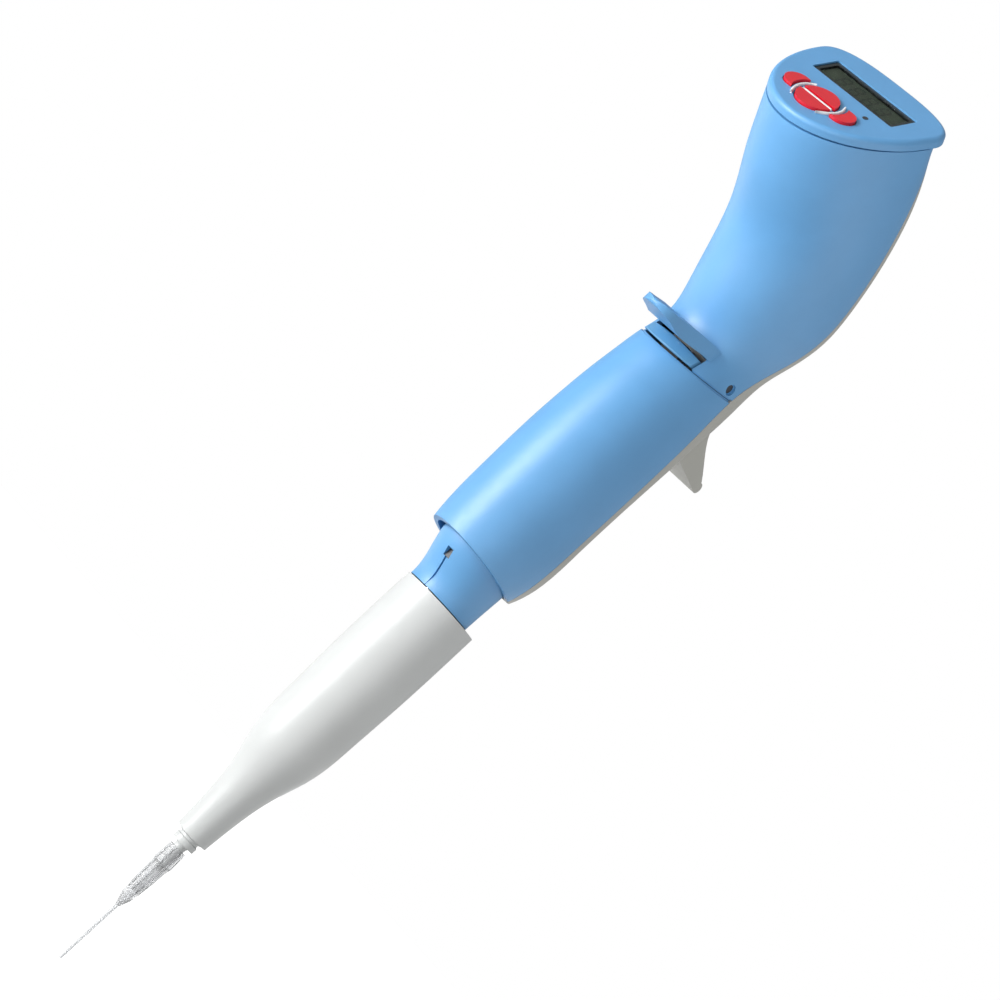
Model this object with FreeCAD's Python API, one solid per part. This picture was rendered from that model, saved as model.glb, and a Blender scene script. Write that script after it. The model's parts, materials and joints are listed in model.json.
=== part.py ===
# Hand-held electronic micropipette: motor-driven piston, thumb-lever tip ejector, angled display head.
# Millimetres. +Z runs up the barrel, the origin is on the nozzle axis at the ejector ring's lower face,
# X is the width (the pipette is mirrored about X = 0), -Y is the finger side and +Y the thumb side.

import FreeCAD
import Part
import math
import os

V = FreeCAD.Vector

# ---- driving dimensions ------------------------------------------------------------------------
WALL = 1.7                    # thickness of the handle mouldings
JOINT_GAP = 0.15              # shadow gap between neighbouring mouldings
SECTION_POINTS = 28           # points that carry each rounded cross-section

# Cross-sections of the handle: y, z, tilt of the section in degrees, half width, front and back depth.
HANDLE_SECTIONS = [
    (-5.7, 102.0, 3.0, 14.1, 15.9, 15.9),
    (-4.7, 112.0, 1.0, 15.8, 18.2, 18.2),
    (-5.2, 138.0, 0.0, 16.4, 18.4, 18.4),
    (-4.1, 160.0, 1.0, 16.0, 18.5, 18.5),
    (-2.4, 177.0, 6.0, 15.3, 17.7, 17.7),
    (-1.4, 188.0, 12.0, 15.4, 16.0, 16.0),
    (-2.4, 204.4, 21.0, 18.4, 21.8, 21.8),
    (-10.3, 222.8, 31.0, 20.6, 24.7, 20.2),
    (-22.7, 239.7, 40.0, 21.9, 30.0, 17.5),
    (-36.4, 253.8, 48.0, 22.4, 30.8, 9.8),
]
# Parting line between the blue front mouldings and the grey rear moulding: y, z.
SEAM = [(-0.8, 90.0), (-0.8, 150.0), (-1.0, 168.0), (-1.1, 180.0), (0.9, 189.0), (3.2, 198.0),
        (3.0, 210.0), (-5.0, 225.0), (-17.0, 240.0), (-30.0, 254.0), (-42.0, 268.0)]
LOWER_RIM_Z = 102.4           # lower edge of the grip on the barrel axis
LOWER_RIM_TILT = -5.0         # degrees, the front of the edge stands higher
WAIST = (-2.0, 179.1)         # y, z of the joint between grip and head
WAIST_TILT = 13.5             # degrees
WAIST_GROOVE = 0.55           # depth of the groove round that joint
WAIST_GROOVE_WIDTH = 1.0

# Face plate frame: centre of the display and tilt of the plate.
DISPLAY_Y = -41.1
DISPLAY_Z = 253.5
PLATE_TILT = 48.0
PLATE_HALF_WIDTH = 22.9
PLATE_FRONT = 31.2
PLATE_BACK = 10.0
PLATE_CENTRE_V = 4.0          # widest line of the plate, behind the display's centre
PLATE_THICKNESS = 2.8
PLATE_EDGE_RADIUS = 1.3
DISPLAY_LENGTH = 30.0
DISPLAY_WIDTH = 9.8
DISPLAY_BORDER = 1.4
DISPLAY_RECESS = 0.4
BEZEL_THICKNESS = 0.75
LENS_DEPTH = (0.95, 0.5)      # underside and top of the lens, below the plate
LCD_DEPTH = (3.2, 1.2)        # underside and top of the panel, below the plate
LCD_HALF = (14.6, 4.7)        # half length and half width of the panel
LED_PLACE = (9.7, -9.0)
LED_RADIUS = 0.75

BUTTON_CENTRE = (-0.8, -16.4)
BUTTON_OVAL = (5.7, 6.0)      # half length and half width of the divided oval button pair
BUTTON_GAP = 1.7              # between the two halves of the oval
BUTTON_SIDE_OUTER = 12.2      # half width that the two crescent buttons reach
BUTTON_SIDE_INNER = 8.3
BUTTON_SIDE_TIP = 7.2         # half width at the inner corners
BUTTON_SIDE_SHOULDER = 0.72   # the outer corners' half width as a part of the outer one
BUTTON_SIDE_HALF = 3.4        # half height of a crescent button
BUTTON_SIDE_RAISE = 0.9       # from the oval's centre to the crescents'
BUTTON_PROUD = 0.8
BUTTON_CLEARANCE = 0.25
BUTTON_FLANGE = 0.4           # the flange under the plate is wider than the cap by this
BUTTON_FLANGE_THICKNESS = 0.7
FLANGE_BELOW = 0.15           # from the plate's underside to the flange
MAT_DEPTH = (5.0, 4.35)       # underside and top of the keypad mat, below the plate
MAT_BACK = -6.2
BOARD_DEPTH = (7.4, 6.2)
BOARD_MARGIN = 4.2            # the board is smaller than the plate by this, all round

# Ejector: white sleeve, its rod and the thumb lever.
SLEEVE_TOP = 89.5
SLEEVE_PROFILE = [(5.0, 3.0), (5.75, 13.0), (7.2, 23.0), (8.55, 28.3), (9.95, 33.4), (10.85, 38.6),
                  (11.35, 48.0), (11.8, 62.0), (11.95, SLEEVE_TOP)]   # radius, z
SLEEVE_WALL = 1.2
ROD_Y = -9.5
ROD_RADIUS = 1.1
ROD_BOTTOM = 75.0
ROD_TOP = 178.0
FLANGE_BOTTOM = 75.0
FLANGE_TOP = 82.0
FLANGE_RADIUS = 11.2
SET_SCREW_RADIUS = 0.8
SET_SCREW_LENGTH = 1.0
RING_PROFILE = [(2.75, 0.0), (3.45, 0.0), (3.45, 1.6), (3.05, 1.9), (3.05, 2.5), (3.8, 2.8), (3.8, 7.0),
                (2.75, 7.0)]  # radius, z
YOKE_BOTTOM = 174.9
YOKE_THICKNESS = 2.0
YOKE_FRONT_Y = -11.9
YOKE_BACK_Y = 8.4
YOKE_WIDTH = 8.0
YOKE_CORNER = 3.0
SPRING_SEAT_Z = 160.0
SPRING_RADIUS = 2.0           # of the coil's centre line
SPRING_WIRE = 0.3             # radius
SPRING_TURNS = 8

LEVER_PIVOT = (-4.8, 180.9)   # y, z
LEVER_HALF_WIDTH = 7.5
LEVER_POCKET_HALF_WIDTH = 5.7
LEVER_HUB_RADIUS = 3.2
LEVER_NOSE = (6.4, 178.4)     # y, z of the nose that pushes the yoke
LEVER_NOSE_RADIUS = 1.3
LEVER_NOSE_HALF_WIDTH = 3.5
LEVER_EDGE_RADIUS = 0.8
LEVER_ARM = (179.6, 182.6)    # bottom and top of the arm between hub and blade
# Side view of the thumb blade, y and z: its outer face, its rounded tip, and the back of its pocket.
LEVER_OUTER = [(14.4, 183.0), (14.3, 180.0), (14.6, 176.5), (15.6, 173.6), (18.7, 170.8), (23.4, 168.2),
               (29.0, 165.4), (32.2, 163.6)]
LEVER_TIP = [(32.2, 163.6), (33.2, 161.9), (32.1, 160.5)]
LEVER_INNER = [(32.1, 160.5), (13.2, 161.9), (12.4, 163.0), (12.4, 182.6), (14.4, 183.0)]
LEVER_POCKET = [(11.0, 163.6), (26.5, 163.0), (22.2, 166.0), (17.6, 168.9), (13.9, 172.4), (12.9, 176.0),
                (12.7, 178.6), (11.0, 178.6)]
PIN_RADIUS = 1.25
PIN_CLEARANCE = 0.05
PIN_HALF_LENGTH = 14.3
PIN_MOUTH_RADIUS = 1.6        # of the recess that the pin's end lies in
SPACER_RADIUS = 2.45
SPACER_REACH = (7.9, 12.6)    # x of a spacer's two ends
WINDOW_HALF_WIDTH = 8.0
WINDOW_BOTTOM = 153.6
WINDOW_TOP = 184.2

# Finger rest and start trigger on the front. The rest's side view is given as y, z points.
HOOK_TOP = [(-11.0, 185.2), (-18.0, 184.3), (-28.0, 182.1), (-35.8, 180.3)]
HOOK_NOSE_Y = -36.6
HOOK_UNDERSIDE = 178.4        # of the flat part that a finger or a peg bears on
HOOK_KNEE_Y = -26.0           # where the underside starts to rise towards the handle
HOOK_ROOT = [(-26.0, 178.4), (-21.0, 179.55), (-16.0, 180.8), (-11.0, 181.2)]
HOOK_HALF_WIDTH = 10.0
HOOK_TONGUE_HALF_WIDTH = 5.7
TRIGGER_TOP = 179.25
TRIGGER_HALF_WIDTH = 9.0
TRIGGER_CLEARANCE = 0.35      # at each side
TRIGGER_RIM_GAP = 0.65        # above the waist joint, leaves room for the trigger's travel
TRIGGER_PROUD = 0.6
TRIGGER_EDGE_RADIUS = 0.4
TRIGGER_WINDOW_TOP = 181.0
TRIGGER_STEM_END_Y = -17.0
TRIGGER_STEM_Z = (176.4, 178.6)
SWITCH_FACE_Y = -14.8
SWITCH_BACK_Y = -13.4
BRACKET_BACK_Y = -12.4
SPINE_BACK_Y = -15.4          # rear face of the chassis spine

# Piston drive.
PISTON_RADIUS = 0.6
CYLINDER_CLEARANCE = 0.05
SCREW_RADIUS = 2.0
GUIDE_OUTER = 6.8
GUIDE_INNER = 5.6
GUIDE_TOP = 112.0
SEAL_RADIUS = 3.4
SEAL_BOTTOM = 36.0
SEAL_TOP = 38.4
NUT_RADIUS = 4.0
NUT_LENGTH = 6.0
BEARING_RADIUS = 4.4
BEARING_LENGTH = 2.6
CARRIAGE_RADIUS = 5.3
CARRIAGE_BOTTOM = 62.0
CARRIAGE_TOP = 84.0
MOTOR_RADIUS = 8.0
MOTOR_BOTTOM = 116.0
MOTOR_TOP = 146.0
ROTOR_RADIUS = 6.2
SHAFT_RADIUS = 1.5

# Neck between the sleeve and the grip: y, z, tilt, half width, front and back depth.
NECK_SECTIONS = [
    (-2.4, SLEEVE_TOP + 0.3, 0, 10.3, 9.8, 9.8),
    (-2.6, 93.5, 0, 10.4, 10.2, 10.2),
    (-4.0, 100.5, 0, 11.1, 12.6, 12.0),
    (-4.7, 107.0, 0, 11.6, 13.6, 12.6),
]

# Nozzle and disposable tip.
NOZZLE_SHAFT_RADIUS = 2.3
NOZZLE_SEAT_TOP = 1.75        # radius of the tapered seat at its top
NOZZLE_SEAT_END = 1.5
NOZZLE_END_Z = -9.0
TIP_MOUTH_Z = -1.6
TIP_END_Z = -42.0
TIP_CLEARANCE = 0.04

CELL_RADIUS = 8.0
CELL_HALF_LENGTH = 17.0
CELL_CENTRE = (-13.5, 221.5)  # y, z
CELL_LEAN = 31.0              # degrees

JACK_RADIUS = 1.6
JACK_LENGTH = 10.0
JACK_Z = 212.0
JACK_MOUTH_Y = 17.6
JACK_SLEEVE_RADIUS = 3.0

# Two screws that hold the rear moulding to the head: x, z. The rear moulding's foot rests on the neck.
SCREW_PLACES = [(-12.4, 228.0), (12.4, 228.0)]
SCREW_SHANK = 1.1
SCREW_HEAD = 2.1
SCREW_HEAD_DEPTH = 2.3        # from the surface to the head's underside
SCREW_HEAD_HEIGHT = 0.9
SCREW_SOCKET = 0.9            # radius of the driver's socket
SCREW_TOWER = 2.6
SCREW_GRIP = 9.0              # thread engaged in a tower
SCREW_CLEARANCE = 0.1


# ---- geometry helpers --------------------------------------------------------------------------
def box(x_range, y_range, z_range):
    corner = V(x_range[0], y_range[0], z_range[0])
    return Part.makeBox(x_range[1] - x_range[0], y_range[1] - y_range[0], z_range[1] - z_range[0], corner)


def rod(radius, z_low, z_high, x=0.0, y=0.0):
    return Part.makeCylinder(radius, z_high - z_low, V(x, y, z_low))


def tube(outer, inner, z_low, z_high, x=0.0, y=0.0):
    return rod(outer, z_low, z_high, x, y).cut(rod(inner, z_low - 1.0, z_high + 1.0, x, y))


def cross_bar(radius, half_length, y, z):
    return Part.makeCylinder(radius, 2.0 * half_length, V(-half_length, y, z), V(1, 0, 0))


def turned(profile):
    """Solid of revolution about Z from a closed list of radius, z corners."""
    points = [V(radius, 0, z) for radius, z in profile]
    face = Part.Face(Part.makePolygon(points + points[:1]))
    return face.revolve(V(0, 0, 0), V(0, 0, 1), 360)


def fillet_safely(shape, edges, radius):
    """Round the edges that the kernel can round, and leave the shape as it is if it can't."""
    try:
        rounded = shape.makeFillet(radius, edges)
    except Part.OCCError:
        return shape
    return rounded if rounded.isValid() and rounded.Volume > 0 else shape


def smooth(points):
    curve = Part.BSplineCurve()
    curve.interpolate(points)
    return curve.toShape()


HANDLE_VOLUMES = {}           # handle forms already lofted, by inset


def section_wire(y, z, tilt, width, front, back):
    """Closed rounded cross-section in a plane tilted about X, deeper or shallower at front and back."""
    points = []
    for index in range(SECTION_POINTS):
        angle = 2.0 * math.pi * index / SECTION_POINTS
        along = math.sin(angle)
        depth = along * (back if along > 0 else front)
        lean = math.radians(tilt)
        points.append(V(width * math.cos(angle), y + depth * math.cos(lean), z + depth * math.sin(lean)))
    curve = Part.BSplineCurve()
    curve.interpolate(points, PeriodicFlag=True)
    return Part.Wire([curve.toShape()])


def halfway(before, low, high, after):
    """Value midway between low and high on a smooth curve through all four."""
    return (9.0 * (low + high) - before - after) / 16.0


def handle_sections():
    """The driving sections with a smooth in-between section in each interval."""
    first = [2.0 * a - b for a, b in zip(HANDLE_SECTIONS[0], HANDLE_SECTIONS[1])]
    last = [2.0 * a - b for a, b in zip(HANDLE_SECTIONS[-1], HANDLE_SECTIONS[-2])]
    padded = [first] + HANDLE_SECTIONS + [last]
    sections = []
    for four in zip(padded, padded[1:], padded[2:], padded[3:]):
        sections.append(four[1])
        sections.append([halfway(*values) for values in zip(*four)])
    return sections + [HANDLE_SECTIONS[-1]]


def handle_volume(inset):
    """The handle's outside form, or its inside when inset by the wall."""
    if inset not in HANDLE_VOLUMES:
        wires = []
        for y, z, tilt, width, front, back in handle_sections():
            wires.append(section_wire(y, z, tilt, width - inset, front - inset, back - inset))
        HANDLE_VOLUMES[inset] = Part.makeLoft(wires, True, False)
    return HANDLE_VOLUMES[inset]


def half_space(y, z, tilt, above):
    """A big block on one side of a plane through y, z that is tilted about X."""
    reach = 400.0
    low = 0.0 if above else -reach
    block = Part.makeBox(reach, reach, reach, V(-reach / 2, -reach / 2, low))
    block.Placement = FreeCAD.Placement(V(0, y, z), FreeCAD.Rotation(V(1, 0, 0), tilt))
    return block


def front_region(shift):
    """Everything in front of the parting line, moved back by shift."""
    points = [V(0, y + shift, z) for y, z in SEAM]
    edge = smooth(points)
    far = -150.0
    corners = [points[-1], V(0, far, points[-1].z), V(0, far, points[0].z), points[0]]
    wire = Part.Wire([edge] + [Part.makeLine(a, b) for a, b in zip(corners, corners[1:])])
    region = Part.Face(wire).extrude(V(100, 0, 0))
    region.translate(V(-50, 0, 0))
    return region


def on_plate(shape):
    """Move a shape from the face plate's own frame (x, up the plate, out of it) into place."""
    placed = shape.copy()
    tilt = FreeCAD.Rotation(V(1, 0, 0), PLATE_TILT)
    placed.Placement = FreeCAD.Placement(V(0, DISPLAY_Y, DISPLAY_Z), tilt)
    return placed


def plate_outline(grow):
    """Shield outline of the plate in its own frame: half an oval in front, a flatter back."""
    points = []
    for index in range(SECTION_POINTS):
        angle = 2.0 * math.pi * index / SECTION_POINTS
        along = math.sin(angle)
        across = math.cos(angle)
        power = 0.72 if along > 0 else 1.0
        depth = PLATE_BACK if along > 0 else PLATE_FRONT
        reach_x = math.copysign(abs(across) ** power, across) * (PLATE_HALF_WIDTH + grow)
        reach_v = math.copysign(abs(along) ** power, along) * (depth + grow)
        points.append(V(reach_x, PLATE_CENTRE_V + reach_v, 0))
    curve = Part.BSplineCurve()
    curve.interpolate(points, PeriodicFlag=True)
    return Part.Face(Part.Wire([curve.toShape()]))


def plate_slab(grow, low, high):
    slab = plate_outline(grow).extrude(V(0, 0, high - low))
    slab.translate(V(0, 0, low))
    return slab


def rounded_block(length, width, corner, low, high, centre=(0.0, 0.0)):
    half_l = length / 2.0
    half_w = width / 2.0
    x, y = centre
    block = box((x - half_l, x + half_l), (y - half_w, y + half_w), (low, high))
    upright = [edge for edge in block.Edges if abs(edge.tangentAt(edge.FirstParameter).z) > 0.9]
    return block.makeFillet(corner, upright)


def coil(mean_radius, wire_radius, z_low, z_high, turns, x, y):
    """Compression spring with its end turns inside the given length."""
    height = z_high - z_low - 2.0 * wire_radius
    helix = Part.makeHelix(height / turns, height, mean_radius)
    ring = Part.Wire([Part.makeCircle(wire_radius, V(mean_radius, 0, 0), V(0, 1, 0))])
    spring = Part.Wire(helix.Edges).makePipeShell([ring], True, True)
    spring.translate(V(x, y, z_low + wire_radius))
    return spring


# ---- handle mouldings --------------------------------------------------------------------------
def handle_shells(nodes):
    outside = handle_volume(0.0)
    inside = handle_volume(WALL)
    hollow = outside.cut(inside)
    plate_base = on_plate(box((-60, 60), (-80, 80), (-PLATE_THICKNESS - JOINT_GAP, 60)))
    hollow = hollow.cut(plate_base)
    hollow = hollow.cut(half_space(0.0, LOWER_RIM_Z, LOWER_RIM_TILT, False))
    groove_band = half_space(WAIST[0], WAIST[1] - WAIST_GROOVE_WIDTH / 2, WAIST_TILT, True)
    groove_band = groove_band.cut(half_space(WAIST[0], WAIST[1] + WAIST_GROOVE_WIDTH / 2, WAIST_TILT, True))
    groove = outside.cut(handle_volume(WAIST_GROOVE)).common(groove_band)
    front = hollow.common(front_region(0.0))
    rear = hollow.cut(front_region(JOINT_GAP))
    front = front.cut(groove)
    grip = front.cut(half_space(WAIST[0], WAIST[1] - JOINT_GAP / 2, WAIST_TILT, True))
    head = front.cut(half_space(WAIST[0], WAIST[1] + JOINT_GAP / 2, WAIST_TILT, False))

    # Window in the head's lower edge for the start trigger, closed below by the grip's upper edge.
    half = TRIGGER_HALF_WIDTH + TRIGGER_CLEARANCE
    head = head.cut(box((-half, half), (-40, -8), (WAIST[1] - 10, TRIGGER_WINDOW_TOP)))

    # Round holes that show the lever pin's ends, and the thumb lever's window.
    pin_seat = cross_bar(PIN_RADIUS, 60, *LEVER_PIVOT)
    pin_mouth = cross_bar(PIN_MOUTH_RADIUS, 60, *LEVER_PIVOT).cut(
        cross_bar(PIN_MOUTH_RADIUS + 1, PIN_HALF_LENGTH, *LEVER_PIVOT))
    head = head.cut(pin_seat).cut(pin_mouth)
    lever_window = box((-WINDOW_HALF_WIDTH, WINDOW_HALF_WIDTH), (4, 40), (WINDOW_BOTTOM, WINDOW_TOP))
    rear = rear.cut(lever_window)
    rear = rear.cut(Part.makeCylinder(JACK_SLEEVE_RADIUS, 30, V(0, 5, JACK_Z), V(0, 1, 0)))

    # Screw towers in the head and counterbored holes in the rear moulding.
    for x, z in SCREW_PLACES:
        tower = Part.makeCylinder(SCREW_TOWER, 60, V(x, -40, z), V(0, 1, 0))
        tower = tower.common(inside).common(front_region(0.0))
        tower = tower.cut(Part.makeCylinder(SCREW_SHANK, 40, V(x, seam_y(z) - SCREW_GRIP, z), V(0, 1, 0)))
        head = head.fuse(tower)
        seat = screw_face(x, z) - SCREW_HEAD_DEPTH
        counterbore = Part.makeCylinder(SCREW_HEAD + SCREW_CLEARANCE, 60, V(x, seat, z), V(0, 1, 0))
        hole = Part.makeCylinder(SCREW_SHANK + SCREW_CLEARANCE, 60, V(x, seam_y(z), z), V(0, 1, 0))
        rear = rear.cut(counterbore).cut(hole)
    nodes["grip_shell"] = grip
    nodes["head_shell"] = head
    nodes["rear_shell"] = rear


def seam_y(z):
    """Depth of the parting line at a height."""
    for (y_low, z_low), (y_high, z_high) in zip(SEAM, SEAM[1:]):
        if z_low <= z <= z_high:
            return y_low + (y_high - y_low) * (z - z_low) / (z_high - z_low)
    return SEAM[-1][0]


def screw_face(x, z):
    """Depth of the handle's back surface at x, z, where a screw goes in."""
    probe = Part.makeLine(V(x, seam_y(z), z), V(x, 80, z))
    return handle_volume(0.0).common(probe).BoundBox.YMax


def fasteners(nodes):
    screws = []
    for x, z in SCREW_PLACES:
        seat = screw_face(x, z) - SCREW_HEAD_DEPTH
        head = Part.makeCylinder(SCREW_HEAD, SCREW_HEAD_HEIGHT, V(x, seat, z), V(0, 1, 0))
        socket_start = V(x, seat + SCREW_HEAD_HEIGHT / 3, z)
        socket = Part.makeCylinder(SCREW_SOCKET, SCREW_HEAD_HEIGHT, socket_start, V(0, 1, 0))
        start = seam_y(z) - SCREW_GRIP + 0.5
        shank = Part.makeCylinder(SCREW_SHANK, seat - start, V(x, start, z), V(0, 1, 0))
        screws.append(head.cut(socket).fuse(shank))
    nodes["case_screws"] = Part.makeCompound(screws)


# ---- face plate, display and buttons -----------------------------------------------------------
def oval_half(sign, grow):
    """One half of the divided oval button, in the plate's frame, as a face."""
    centre_x, centre_v = BUTTON_CENTRE
    outline = Part.Ellipse(V(0, 0, 0), BUTTON_OVAL[1] + grow, BUTTON_OVAL[0] + grow).toShape()
    oval = Part.Face(Part.Wire([outline]))
    oval.Placement = FreeCAD.Placement(V(centre_x, centre_v, 0), FreeCAD.Rotation(V(0, 0, 1), 90))
    gap = BUTTON_GAP / 2.0 - grow
    low = gap if sign > 0 else -30.0
    keep = Part.makePlane(60, 30 - gap, V(-30, centre_v + low, 0))
    return oval.common(keep).Faces[0]


def crescent(sign, grow):
    """A crescent button beside the oval: convex outside, concave inside."""
    centre_x, centre_v = BUTTON_CENTRE
    outer = BUTTON_SIDE_OUTER + grow
    inner = BUTTON_SIDE_INNER - grow
    half = BUTTON_SIDE_HALF + grow
    shoulder = sign * outer * BUTTON_SIDE_SHOULDER
    tip = sign * (BUTTON_SIDE_TIP - grow)
    outer_arc = Part.Arc(V(shoulder, -half, 0), V(sign * outer, 0, 0), V(shoulder, half, 0)).toShape()
    top = Part.makeLine(V(shoulder, half, 0), V(tip, half, 0))
    inner_arc = Part.Arc(V(tip, half, 0), V(sign * inner, 0, 0), V(tip, -half, 0)).toShape()
    bottom = Part.makeLine(V(tip, -half, 0), V(shoulder, -half, 0))
    face = Part.Face(Part.Wire([outer_arc, top, inner_arc, bottom]))
    face.translate(V(centre_x, centre_v + BUTTON_SIDE_RAISE, 0))
    return face


def slab_from(face, low, high):
    base = face.copy()
    base.translate(V(0, 0, low))
    return base.extrude(V(0, 0, high - low))


BUTTON_FACES = {
    "button_select": lambda grow: oval_half(1, grow),
    "button_enter": lambda grow: oval_half(-1, grow),
    "button_left": lambda grow: crescent(-1, grow),
    "button_right": lambda grow: crescent(1, grow),
}


def face_plate(nodes):
    low = -PLATE_THICKNESS
    plate = plate_slab(0.0, low, 0.0)
    top_edges = [edge for edge in plate.Edges if edge.BoundBox.ZMin > -0.01]
    plate = fillet_safely(plate, top_edges, PLATE_EDGE_RADIUS)
    plate = plate.cut(rounded_block(DISPLAY_LENGTH, DISPLAY_WIDTH, 0.7, low - 1, 1))
    for outline in BUTTON_FACES.values():
        plate = plate.cut(slab_from(outline(BUTTON_CLEARANCE), low - 1, 1))
    plate = plate.cut(rod(LED_RADIUS + 0.05, low - 1, 1, *LED_PLACE))
    nodes["face_plate"] = on_plate(plate)

    bezel = rounded_block(DISPLAY_LENGTH - 0.2, DISPLAY_WIDTH - 0.2, 0.6, -DISPLAY_RECESS - BEZEL_THICKNESS,
                          -DISPLAY_RECESS)
    opening = (DISPLAY_LENGTH - 2 * DISPLAY_BORDER, DISPLAY_WIDTH - 2 * DISPLAY_BORDER)
    bezel = bezel.cut(rounded_block(opening[0], opening[1], 0.4, -3, 1))
    nodes["display_bezel"] = on_plate(bezel)
    lens = rounded_block(opening[0], opening[1], 0.4, -LENS_DEPTH[0], -LENS_DEPTH[1])
    nodes["display_lens"] = on_plate(lens)
    half_l, half_w = LCD_HALF
    panel = box((-half_l, half_l), (-half_w, half_w), (-LCD_DEPTH[0], -LCD_DEPTH[1]))
    nodes["lcd_panel"] = on_plate(panel)
    nodes["status_led"] = on_plate(rod(LED_RADIUS, -4.0, 0.1, *LED_PLACE))

    for name, outline in BUTTON_FACES.items():
        cap = slab_from(outline(0.0), low - FLANGE_BELOW, BUTTON_PROUD)
        flange_top = low - FLANGE_BELOW
        flange = slab_from(outline(BUTTON_FLANGE), flange_top - BUTTON_FLANGE_THICKNESS, flange_top)
        nodes[name] = on_plate(cap.fuse(flange).removeSplitter())

    mat = plate_slab(-BOARD_MARGIN, -MAT_DEPTH[0], -MAT_DEPTH[1])
    mat = mat.common(box((-30, 30), (-40, MAT_BACK), (-6, 0)))
    nodes["keypad_mat"] = on_plate(mat)
    board = plate_slab(-BOARD_MARGIN, -BOARD_DEPTH[0], -BOARD_DEPTH[1])
    chips = [box((-9, -2), (-2, 5), (-8.6, -7.4)), box((3, 8), (-4, 1), (-8.4, -7.4)),
             box((-5, 5), (-18, -13), (-8.8, -7.4))]
    nodes["main_board"] = on_plate(board.fuse(chips))


# ---- finger rest and start trigger -------------------------------------------------------------
def in_side_view(points):
    """Points of a side view: y, z pairs as vectors at X = 0."""
    return [V(0, y, z) for y, z in points]


def finger_rest(nodes):
    top = in_side_view(HOOK_TOP)
    root = in_side_view(HOOK_ROOT)
    tip_low = V(0, HOOK_TOP[-1][0], HOOK_UNDERSIDE)
    middle = V(0, HOOK_NOSE_Y, (HOOK_UNDERSIDE + HOOK_TOP[-1][1]) / 2)
    tip = Part.Arc(top[-1], middle, tip_low).toShape()
    under = Part.makeLine(tip_low, V(0, HOOK_KNEE_Y, HOOK_UNDERSIDE))
    back = Part.makeLine(root[-1], top[0])
    blade = Part.Face(Part.Wire([smooth(top), tip, under, smooth(root), back])).extrude(V(40, 0, 0))
    blade.translate(V(-20, 0, 0))

    # Plan: as wide as its root where it leaves the handle, narrowing to a rounded tongue.
    half = HOOK_HALF_WIDTH
    tongue = HOOK_TONGUE_HALF_WIDTH
    nose_y = HOOK_NOSE_Y + tongue
    left = smooth([V(-half, -11, 0), V(-half + 0.3, -16, 0), V(-7.4, -23, 0), V(-tongue, nose_y, 0)])
    end = Part.Arc(V(-tongue, nose_y, 0), V(0, HOOK_NOSE_Y, 0), V(tongue, nose_y, 0)).toShape()
    right = smooth([V(tongue, nose_y, 0), V(7.4, -23, 0), V(half - 0.3, -16, 0), V(half, -11, 0)])
    close = Part.makeLine(V(half, -11, 0), V(-half, -11, 0))
    plan = Part.Face(Part.Wire([left, end, right, close])).extrude(V(0, 0, 40))
    plan.translate(V(0, 0, 160))
    hook = blade.common(plan)
    # It is keyed into the head moulding: the blade stops halfway through that moulding's wall.
    nodes["head_shell"] = nodes["head_shell"].cut(hook)
    nodes["finger_rest"] = hook.cut(handle_volume(WALL * 0.5))


def start_trigger(nodes):
    half = TRIGGER_HALF_WIDTH
    above_rim = half_space(WAIST[0], WAIST[1] + TRIGGER_RIM_GAP, WAIST_TILT, True)
    band = box((-half, half), (-40, -8), (WAIST[1] - 10, TRIGGER_TOP)).common(above_rim)
    skin = handle_volume(-TRIGGER_PROUD).cut(handle_volume(WALL))
    button = skin.common(band)
    outer_edges = [edge for edge in button.Edges
                   if edge.BoundBox.YMax < SWITCH_FACE_Y and edge.BoundBox.XLength > TRIGGER_HALF_WIDTH]
    button = fillet_safely(button, outer_edges, TRIGGER_EDGE_RADIUS)
    stem = box((-3, 3), (TRIGGER_STEM_END_Y - 2.0, TRIGGER_STEM_END_Y), TRIGGER_STEM_Z)
    nodes["start_trigger"] = button.fuse(stem).removeSplitter()
    middle_z = (TRIGGER_STEM_Z[0] + TRIGGER_STEM_Z[1]) / 2
    plunger = Part.makeCylinder(0.8, 0.5, V(0, SWITCH_FACE_Y - 0.5, middle_z), V(0, 1, 0))
    body = box((-3.2, 3.2), (SWITCH_FACE_Y, SWITCH_BACK_Y), (middle_z - 2.6, middle_z + 2.6))
    nodes["start_switch"] = body.fuse(plunger)
    plate = box((-4, 4), (SWITCH_BACK_Y, BRACKET_BACK_Y), (168.6, 180.4))
    foot = box((-4, 4), (SPINE_BACK_Y, SWITCH_BACK_Y), (168.6, 170.0))
    nodes["switch_bracket"] = plate.fuse(foot).removeSplitter()


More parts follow.
